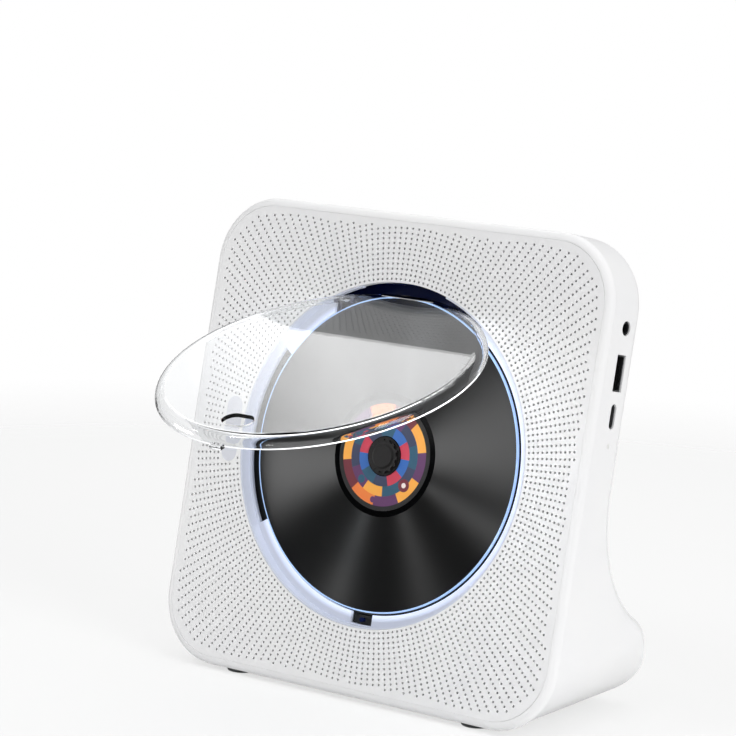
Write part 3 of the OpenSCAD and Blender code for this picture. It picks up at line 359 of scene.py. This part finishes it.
# %% [markdown]
# ## The perforated face
#
# The face is a thin skin with round holes on two hundred spokes, 1.95 mm apart along each spoke, out to a
# plain border. Cutting three thousand holes with a boolean is slow and leaves ragged faces. A Delaunay
# fill of the outlines, which keeps every outline's edges, gives clean triangles between the holes in a
# moment, and extruding those gives the walls. Behind the skin lies a thin grey gauze, which is what shows
# through the holes.

# %% The perforated face
skin_low, skin_high = face_range("grille_skin")
skin_w = skin_high.x - skin_low.x
skin_h = skin_high.y - skin_low.y
skin_t = -skin_low.z
skin_mid_y = (skin_high.y + skin_low.y) / 2
GAUZE_T = 0.2
SPOKES = 200
ROW_STEP = 1.95
HOLE_R = 0.5
HOLE_SIDES = 10
FIRST_ROW = 67.4
WELL_R = 66.1
CORNER_R = 23.0
BORDER = 2.4


def circle_points(x, y, r, sides):
    return [(x + r * math.cos(2 * math.pi * i / sides), y + r * math.sin(2 * math.pi * i / sides))
            for i in range(sides)]


def rounded_points(w, h, r, steps):
    """A rounded rectangle round the skin's middle, corner by corner."""
    made = []
    for sx, sy, start in ((1, 1, 0), (-1, 1, 90), (-1, -1, 180), (1, -1, 270)):
        for i in range(steps + 1):
            a = math.radians(start + 90 * i / steps)
            made.append((sx * (w / 2 - r) + r * math.cos(a), skin_mid_y + sy * (h / 2 - r) + r * math.sin(a)))
    return made


def inside_border(x, y):
    w, h, r = skin_w / 2 - BORDER, skin_h / 2 - BORDER, CORNER_R - BORDER
    x, y = abs(x), abs(y - skin_mid_y)
    return x < w and y < h and (x < w - r or y < h - r or math.hypot(x - w + r, y - h + r) < r)


def flat_plate(name, outer_line, inner_lines, top, depth):
    """A flat plate inside one outline and outside the others, its upper side at height top."""
    lines = [outer_line] + inner_lines
    points = [Vector(p) for line in lines for p in line]
    loops, first = [], 0
    for line in lines:
        loops.append(list(range(first, first + len(line))))
        first += len(line)
    found, _, triangles, _, _, inside = delaunay_2d_cdt(points, [], loops, 1, 1e-6)
    kept = [t for t, within in zip(triangles, inside) if list(within) == [0]]
    mesh = bpy.data.meshes.new(name)
    mesh.from_pydata([(p.x, p.y, top) for p in found], [], kept)
    obj = bpy.data.objects.new(name, mesh)
    bpy.context.scene.collection.objects.link(obj)
    with edit(obj) as shape:
        shape.faces.ensure_lookup_table()
        if shape.faces[0].normal.z > 0:
            bpy.ops.mesh.select_all(action="SELECT")
            bpy.ops.mesh.flip_normals()
        bpy.ops.mesh.select_all(action="SELECT")
        bpy.ops.mesh.extrude_region_move(TRANSFORM_OT_translate={"value": (0, 0, -depth)})
        bpy.ops.mesh.select_all(action="SELECT")
        bpy.ops.mesh.normals_make_consistent(inside=False)
    return obj


window_low, window_high = face_range("receiver_window")
window_mid = (window_low + window_high) / 2
window_r = (window_high.x - window_low.x) / 2
window_straight = (window_high.y - window_low.y) / 2 - window_r


def window_points(gap):
    r = window_r + gap
    upper = [(window_mid.x + r * math.cos(math.pi * i / 16), window_mid.y + window_straight
              + r * math.sin(math.pi * i / 16)) for i in range(17)]
    lower = [(2 * window_mid.x - x, 2 * window_mid.y - y) for x, y in upper]
    return upper + lower


def clear_of_window(x, y):
    return (abs(x - window_mid.x) > window_r + 0.9
            or abs(y - window_mid.y) > window_straight + window_r + 0.9)


holes = []
row_r = FIRST_ROW
while row_r < math.hypot(skin_w, skin_h) / 2:
    for k in range(SPOKES):
        spoke = 2 * math.pi * k / SPOKES
        hole_x, hole_y = row_r * math.cos(spoke), row_r * math.sin(spoke)
        if inside_border(hole_x, hole_y) and clear_of_window(hole_x, hole_y):
            holes.append(circle_points(hole_x, hole_y, HOLE_R, HOLE_SIDES))
    row_r += ROW_STEP

outer = rounded_points(skin_w, skin_h, CORNER_R, 24)
well = circle_points(0, 0, WELL_R, 240)
grille_face = flat_plate("grille_face", outer, [well, window_points(0.02)] + holes, 0, skin_t - GAUZE_T)
grille_gauze = flat_plate("grille_gauze", outer, [circle_points(0, 0, WELL_R + 0.4, 240),
                                                  window_points(0.3)], GAUZE_T - skin_t, GAUZE_T)
print("holes in the face:", len(holes), "faces:", len(grille_face.data.polygons))

gauze_grey = moulded("acoustic_gauze_grey", "#8f8f90", "#858586", 0.9, grain_mm=0.3, depth_mm=0.05)
dress(grille_face, case_white)
dress(grille_gauze, gauze_grey)
for obj in (grille_face, grille_gauze):
    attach(put_on_face(obj), "cabinet")
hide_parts("grille_skin")

# %% [markdown]
# ## The disc
#
# The disc imitates a record: its upper side is black and finely grooved, and only its outermost 0.6 mm is
# clear. The grooves are what draw the bright fans of light that run out from the hub. They are far too fine
# for geometry, so the shader's own anisotropy does that work. It draws highlights out along the tangent, and
# so the tangent follows a UV map whose U runs outward. The solid is a small rectangle, bevelled and spun
# round the axis.

# %% The disc
disc_low, disc_high = face_range("disc")
DISC_R = disc_high.x
DISC_BORE = 7.5
BLACK_RING_R = 23.3
CLEAR_RIM = 0.6
SPIN_STEPS = 180
MAP_MM = 100


def spun_ring(name, inner, outer, low, high, cuts=(), edge=0.0, steps=SPIN_STEPS):
    """A rectangle from inner to outer and low to high, its outer corners bevelled, spun round the axis."""
    take(nodes["disc"])
    bpy.ops.mesh.primitive_plane_add(size=1, rotation=(math.pi / 2, 0, 0))
    obj = named(name)
    bpy.ops.object.transform_apply(rotation=True)
    place = Matrix.Translation(((inner + outer) / 2, 0, (low + high) / 2))
    obj.data.transform(place @ Matrix.Diagonal((outer - inner, 1, high - low, 1)))
    if edge:
        with edit(obj, "VERT") as mesh:
            for v in mesh.verts:
                v.select = v.co.x > (inner + outer) / 2
            bpy.ops.mesh.bevel(offset=edge, segments=3, affect="VERTICES")
    for r in cuts:
        with edit(obj):
            bpy.ops.mesh.select_all(action="SELECT")
            bpy.ops.mesh.bisect(plane_co=(r, 0, 0), plane_no=(1, 0, 0))
    with edit(obj, "EDGE") as mesh:
        for e in mesh.edges:
            e.select = len(e.link_faces) == 2  # a cut's own edge would be spun to a wall inside
        bpy.ops.mesh.delete(type="EDGE_FACE")
    with edit(obj):
        bpy.ops.mesh.select_all(action="SELECT")
        bpy.ops.mesh.delete(type="ONLY_FACE")
        bpy.ops.mesh.select_all(action="SELECT")
        bpy.ops.mesh.spin(steps=steps, angle=2 * math.pi, center=(0, 0, 0), axis=(0, 0, 1))
        bpy.ops.mesh.select_all(action="SELECT")
        bpy.ops.mesh.remove_doubles(threshold=0.0005)
        bpy.ops.mesh.normals_make_consistent(inside=False)
    return obj


def polar_map(obj):
    """A UV map whose U runs outward and whose V runs round the axis."""
    layer = obj.data.uv_layers.new(name="polar")
    for face in obj.data.polygons:
        middle = math.atan2(face.center.y, face.center.x)
        for loop in face.loop_indices:
            p = obj.data.vertices[obj.data.loops[loop].vertex_index].co
            a = math.atan2(p.y, p.x)
            a += 2 * math.pi * round((middle - a) / (2 * math.pi))
            layer.data[loop].uv = (p.xy.length / MAP_MM, a / (2 * math.pi) + 0.5)


vinyl_disc = spun_ring("vinyl_disc", DISC_BORE, DISC_R, disc_low.z, disc_high.z,
                       (BLACK_RING_R, DISC_R - CLEAR_RIM), edge=0.25)
polar_map(vinyl_disc)

grooved_black, tree, surface = new_material(
    "grooved_black_print", "#050506", 0.35, anisotropic=1.0, specular_ior_level=0.5)
turned = node(tree, "Tangent", direction_type="UV_MAP", uv_map="polar")
tree.links.new(turned.outputs[0], surface.inputs["Tangent"])
polar = node(tree, "UVMap", uv_map="polar").outputs[0]
GROOVE_MM = 0.6  # the real grooves are ten times finer
WAVES_PER_UNIT = 20 / (2 * math.pi)  # a wave texture of scale 1 has this many waves in a length of 1
wave = node(tree, "TexWave", {"Vector": polar, "Scale": MAP_MM / GROOVE_MM / WAVES_PER_UNIT})
tree.links.new(spread(tree, wave.outputs["Fac"], 0.33, 0.37), surface.inputs["Roughness"])

gloss_black, tree, surface = new_material("smooth_black_print", "#050506", 0.12, specular_ior_level=0.3)
bump(tree, surface, grain(tree, 0.5), 0.002)

# The clear rim's pale blue colour and its emission are a painted glow. They stand in for the lit ring's light
# caught in the disc's edge, which is no lamp.
disc_edge_painted_glow, tree, surface = new_material("clear_polycarbonate_edge_painted_glow", "#9fc0f0", 0.15)
surface.inputs["Emission Color"].default_value = srgb("#b3cdf0")
surface.inputs["Emission Strength"].default_value = 0.4
bump(tree, surface, grain(tree, 0.5), 0.002)

dress(vinyl_disc, grooved_black, gloss_black, disc_edge_painted_glow)
for face in vinyl_disc.data.polygons:
    r = face.center.xy.length
    if r > DISC_R - CLEAR_RIM:
        face.material_index = 2
    elif r < BLACK_RING_R or face.normal.z < 0.5:
        face.material_index = 1
take(vinyl_disc)
bpy.ops.object.shade_smooth_by_angle(angle=math.radians(10))
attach(put_on_face(vinyl_disc), "disc_rotor")
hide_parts("disc")

# %% [markdown]
# ## The printed label
#
# The label is a bright screen print of flat colours with a black rim. Here it is a plain mosaic of arcs:
# rings and sectors whose colours follow a simple count, with a few dots. Each colour is a material of its
# own on the faces of one thin ring, so the print stays sharp at any distance.

# %% The printed label
label_low, label_high = face_range("disc_label")
LABEL_SECTORS = 10
LABEL_RINGS = (11.6, 15.4, 19.2)
LABEL_BORE = 7.7
INKS = {
    "crimson": "#c22d47", "yellow": "#f2a63a", "blue": "#1d5fae", "maroon": "#6f1c2c", "teal": "#17506b",
    "orange": "#e8792b", "slate": "#2c3655", "white": "#efe3dc", "purple": "#5b2b5e", "black": "#08080a",
}


def ink(name, colour):
    """Screen-printing ink: even and slightly glossy, with the print's faint mottle."""
    material, tree, surface = new_material("screen_ink_" + name, colour, 0.35)
    mottle = grain(tree, 0.5)
    tree.links.new(spread(tree, mottle, 0.3, 0.42), surface.inputs["Roughness"])
    bump(tree, surface, mottle, 0.005)
    return material


inks = [ink(*pair) for pair in INKS.items()]
BLACK = len(inks) - 1
printed_label = spun_ring("printed_label", LABEL_BORE, label_high.x, label_low.z, label_high.z,
                          LABEL_RINGS, steps=LABEL_SECTORS * 12)
dress(printed_label, *inks)
for face in printed_label.data.polygons:
    ring = sum(face.center.xy.length > r for r in LABEL_RINGS)
    turn = (math.atan2(face.center.y, face.center.x) / (2 * math.pi)) % 1.0
    sector = int(turn * LABEL_SECTORS + ring / 3) % LABEL_SECTORS
    on_rim = ring == len(LABEL_RINGS)
    face.material_index = BLACK if on_rim else (sector * 2 + ring * 4 + sector // 4) % BLACK

DOT_PLACES = ((18, 17.2, 1.5), (97, 13.4, 1.3), (160, 17.2, 1.3), (228, 13.4, 1.6),
              (262, 17.2, 1.2), (318, 14.6, 2.5), (318, 14.6, 1.0))  # degrees, distance out, radius
DOT_T = 0.02
ON_TOP = 0.01  # the last dot lies on the one before it
dots = []
for k, (turn, r, size) in enumerate(DOT_PLACES):
    a = math.radians(turn)
    depth = DOT_T + ON_TOP * (k == len(DOT_PLACES) - 1)
    bpy.ops.object.select_all(action="DESELECT")
    bpy.ops.mesh.primitive_cylinder_add(vertices=32, radius=size, depth=depth,
                                        location=(r * math.cos(a), r * math.sin(a), label_high.z))
    dot = bpy.context.object
    dress(dot, inks[(k * 4 + 1) % BLACK])
    bpy.ops.object.transform_apply(location=True)
    dots.append(dot)
printed_label = join("printed_label", [printed_label] + dots)
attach(put_on_face(printed_label), "disc_rotor")
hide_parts("disc_label")

# %% [markdown]
# ## Floor and backdrop
#
# The product stands on white paper that runs on to the horizon. Only the paper round the product takes
# its shadow: farther out it fades into the white of the world behind it, so no horizon shows. The camera
# and gloss see the paper thinned, so that it looks nearly white and doesn't grey the black disc, while the
# light that it throws on the product stays that of full paper.

# %% Floor
FADE_FROM = 0.25
FADE_TO = 0.7
THINNED = 0.65
bpy.ops.object.select_all(action="DESELECT")
bpy.ops.mesh.primitive_plane_add(size=6)
floor = named("paper_floor")
paper, tree, surface = new_material("white_paper", "#f7f7f7", 0.9, specular_ior_level=0.1)
bump(tree, surface, grain(tree, 2), 0.02)
far = node(tree, "VectorMath", {0: object_place(tree)}, operation="LENGTH").outputs["Value"]
fading = node(tree, "MapRange", {"Value": far, "From Min": FADE_FROM, "From Max": FADE_TO},
              interpolation_type="SMOOTHSTEP")
path = node(tree, "LightPath")
seen = node(tree, "Math", {0: path.outputs["Is Camera Ray"], 1: path.outputs["Is Glossy Ray"]},
            operation="ADD")
thinned = node(tree, "Math", {0: seen.outputs[0], 1: THINNED}, operation="MULTIPLY")
hidden = node(tree, "Math", {0: fading.outputs[0], 1: thinned.outputs[0]}, operation="MAXIMUM")
beyond = node(tree, "BsdfTransparent")
faded = node(tree, "MixShader", {0: hidden.outputs[0], 1: surface.outputs[0], 2: beyond.outputs[0]})
output = next(n for n in tree.nodes if n.type == "OUTPUT_MATERIAL")
tree.links.new(faded.outputs[0], output.inputs["Surface"])
dress(floor, paper)

# %% [markdown]
# ## World and lamps
#
# The studio is a white cyclorama behind the product and a dim room in front of it, so that black gloss
# stays black while the whites stay white. The camera sees white, and so does what glass lets through,
# except overhead and well to the front, where the room is dimmer. A large softbox above and behind is what
# the open cover mirrors, with one straight edge. It is dimmed toward one end, because the cover's left part
# mirrors that end. Four lamps that only gloss sees each draw a fan of light across the grooved disc, on both
# sides of its hub.

# %% World
AMBIENT = 0.56
MIRRORED_FRONT = 0.015
MIRRORED_BACK = 0.08
SEEN_IN_FRONT = 0.4
world = bpy.data.worlds.new("studio")
bpy.context.scene.world = world
world.use_nodes = True
tree = world.node_tree
tree.nodes.clear()
way = node(tree, "SeparateXYZ", {0: node(tree, "TexCoord").outputs["Generated"]})
depth, height = way.outputs["Y"], way.outputs["Z"]
room = node(tree, "MapRange", {"Value": depth, "From Min": -0.1, "From Max": 0.35,
                               "To Min": MIRRORED_FRONT, "To Max": MIRRORED_BACK})
path = node(tree, "LightPath")
lit = node(tree, "Mix", {"Factor": path.outputs["Is Diffuse Ray"], "A": room.outputs[0], "B": AMBIENT})
ceiling = node(tree, "MapRange", {"Value": height, "From Min": 0.35, "From Max": 0.6,
                                  "To Min": 1.0, "To Max": AMBIENT})
behind = node(tree, "MapRange", {"Value": depth, "From Min": -0.6, "From Max": -0.2,
                                 "To Min": SEEN_IN_FRONT, "To Max": 1.0})
backdrop = node(tree, "Math", {0: ceiling.outputs[0], 1: behind.outputs[0]}, operation="MULTIPLY")
through = node(tree, "Math", {0: path.outputs["Is Transmission Ray"], 1: backdrop.outputs[0]},
               operation="MULTIPLY")
white_for = node(tree, "Math", {0: path.outputs["Is Camera Ray"], 1: through.outputs[0]},
                 operation="MAXIMUM")
level = node(tree, "Mix", {"Factor": white_for.outputs[0], "A": lit.outputs[0], "B": 1.0})
node(tree, "OutputWorld", {"Surface": node(tree, "Background", {
    "Color": (1, 1, 1, 1), "Strength": level.outputs[0]}).outputs[0]})


# %% Lamps
def softbox(name, place, aim, width, height, radiance):
    """A rectangular softbox. Its power follows from how bright its surface is to look."""
    lamp = bpy.data.lights.new(name, "AREA")
    lamp.shape = "RECTANGLE"
    lamp.size = width
    lamp.size_y = height
    lamp.energy = radiance * math.pi * width * height
    obj = bpy.data.objects.new(name, lamp)
    obj.location = place
    obj.rotation_euler = (Vector(aim) - Vector(place)).to_track_quat("-Z", "Y").to_euler()
    obj.visible_camera = False
    bpy.context.scene.collection.objects.link(obj)
    return obj


AIM_ABOVE_CENTRE = 0.21
target = face_origin + face_up * AIM_ABOVE_CENTRE * MM
LAMPS = {  # direction from the disc, distance, width, height, brightness, seen only in gloss
    "side_softbox": ((0.93, -0.25, 0.27), 2.0, 0.8, 0.9, 7.0, False),
    "key_softbox": ((-0.394, -0.508, 0.766), 2.0, 0.6, 0.6, 5.0, False),
    "top_softbox": ((0.0, 0.12, 0.99), 1.6, 1.2, 1.2, 1.7, False),
    "cover_softbox": ((-0.55, 0.577, 0.757), 1.0, 0.9, 0.6, 2.7, True),
    "left_streak": ((-0.92, -0.39, -0.039), 1.5, 0.5, 0.36, 24.0, True),
    "low_right_streak": ((0.005, -0.998, -0.06), 1.0, 0.09, 0.09, 60.0, True),
    "lower_streak": ((-0.779, -0.487, 0.395), 1.0, 0.07, 0.07, 60.0, True),
    "bottom_streak": ((-0.452, -0.585, 0.673), 1.0, 0.09, 0.09, 75.0, True),
}
for name, (way, distance, width, height, radiance, gloss_only) in LAMPS.items():
    lamp = softbox(name, target + Vector(way) * distance, target, width, height, radiance)
    lamp.visible_diffuse = not gloss_only
    lamp.visible_transmission = name == "cover_softbox"  # others would draw glaring lines in the cover

DIMMED_END = 0.28
cover_light = bpy.data.objects["cover_softbox"].data
cover_light.use_nodes = True
tree = cover_light.node_tree
across = node(tree, "SeparateXYZ", {0: node(tree, "NewGeometry").outputs["Parametric"]}).outputs["X"]
fade = node(tree, "MapRange", {"Value": across, "From Min": 0.6, "From Max": 0.71,
                               "To Min": 1.0, "To Max": DIMMED_END})
tree.links.new(fade.outputs[0], tree.nodes["Emission"].inputs["Strength"])

# %% [markdown]
# ## Camera
#
# The picture was taken a little above the middle of the product and well to its right, from just over a
# metre. The aim point, the roll and the small shift of the frame come from fitting the corners of the
# face, the disc and the ring to the picture.

# %% Camera
AZIMUTH = 35.93
ELEVATION = 11.62
ROLL = 1.74
DISTANCE = 1.1432
PICTURE = 736
FOCAL_PX = 3011.1
CENTRE_PX = (378.27, 454.91)
SENSOR_MM = 36

azimuth, elevation = math.radians(AZIMUTH), math.radians(ELEVATION)
toward = Vector((math.sin(azimuth) * math.cos(elevation), -math.cos(azimuth) * math.cos(elevation),
                 math.sin(elevation)))
lens = bpy.data.cameras.new("camera")
lens.sensor_width = SENSOR_MM
lens.lens = FOCAL_PX / PICTURE * SENSOR_MM
lens.shift_x = (PICTURE / 2 - CENTRE_PX[0]) / PICTURE
lens.shift_y = (CENTRE_PX[1] - PICTURE / 2) / PICTURE
lens.clip_start = 0.01
camera = bpy.data.objects.new("camera", lens)
camera.matrix_world = (Matrix.Translation(target + toward * DISTANCE)
                       @ toward.to_track_quat("Z", "Y").to_matrix().to_4x4()
                       @ Matrix.Rotation(math.radians(ROLL), 4, "Z"))
bpy.context.scene.collection.objects.link(camera)
bpy.context.scene.camera = camera
bpy.context.scene.view_settings.view_transform = "Standard"
